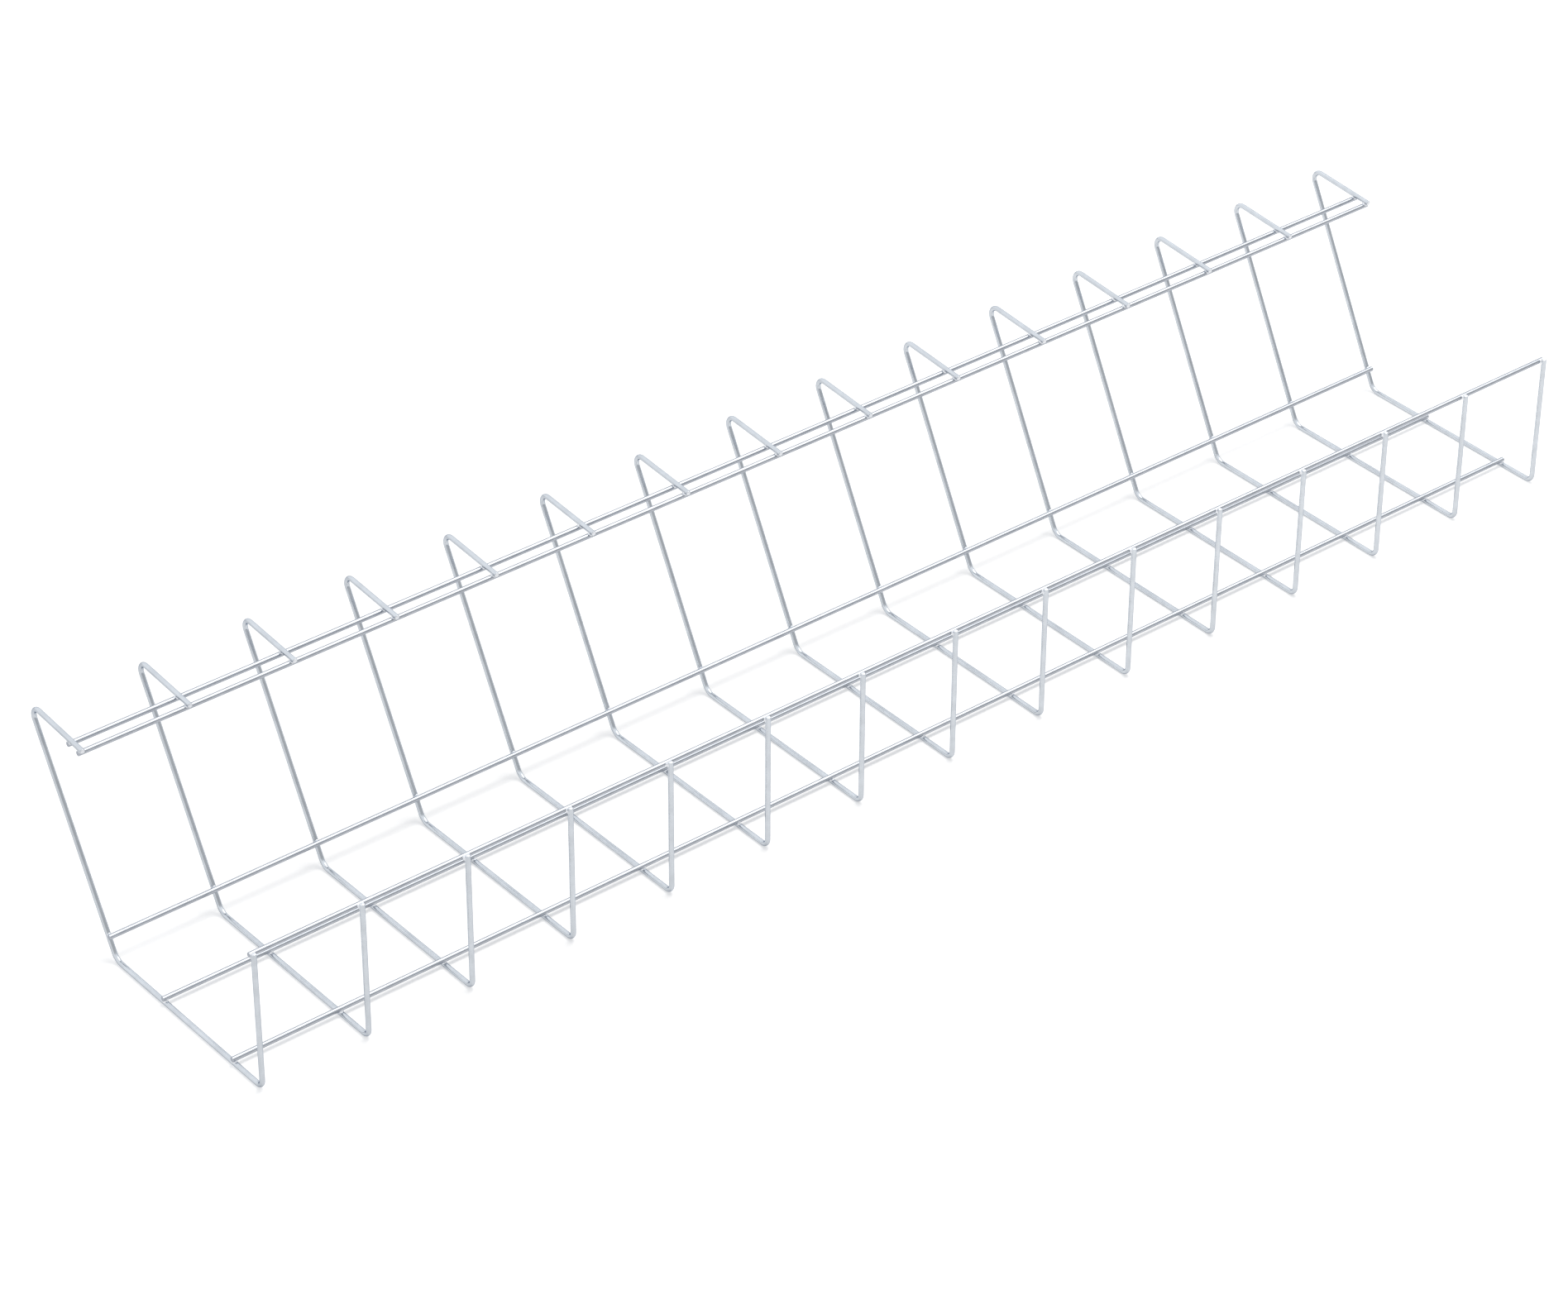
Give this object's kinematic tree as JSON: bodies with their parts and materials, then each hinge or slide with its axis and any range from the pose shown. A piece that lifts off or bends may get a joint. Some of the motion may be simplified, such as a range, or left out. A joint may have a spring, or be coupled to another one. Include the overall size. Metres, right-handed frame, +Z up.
{
  "type": "wire mesh cable basket",
  "caption": "Long open-ended cable basket of welded round wire, with a low front wall, a leaning back wall and a forward-turned hook with a screw gap under it.",
  "frame": {"origin": "under the middle of the basket on the plane it stands on, halfway between the front wall's outer side and the rearmost point of the top bend", "axes": "+X along the trough, -Y towards the low front wall, +Y towards the leaning back wall, +Z up"},
  "size_m": [1.25, 0.2722, 0.1766],
  "materials": {
    "wire": "bright zinc plating, satin to semi-gloss, over drawn steel wire"
  },
  "bodies": {
    "root": {"rib_01": "wire", "rib_02": "wire", "rib_03": "wire", "rib_04": "wire", "rib_05": "wire", "rib_06": "wire", "rib_07": "wire", "rib_08": "wire", "rib_09": "wire", "rib_10": "wire", "rib_11": "wire", "rib_12": "wire", "rib_13": "wire", "rib_14": "wire", "rib_15": "wire", "lip_wire": "wire", "floor_front_wire": "wire", "floor_rear_wire": "wire", "back_wire": "wire", "hook_inner_wire": "wire", "hook_outer_wire": "wire"}
  },
  "joints": []
}
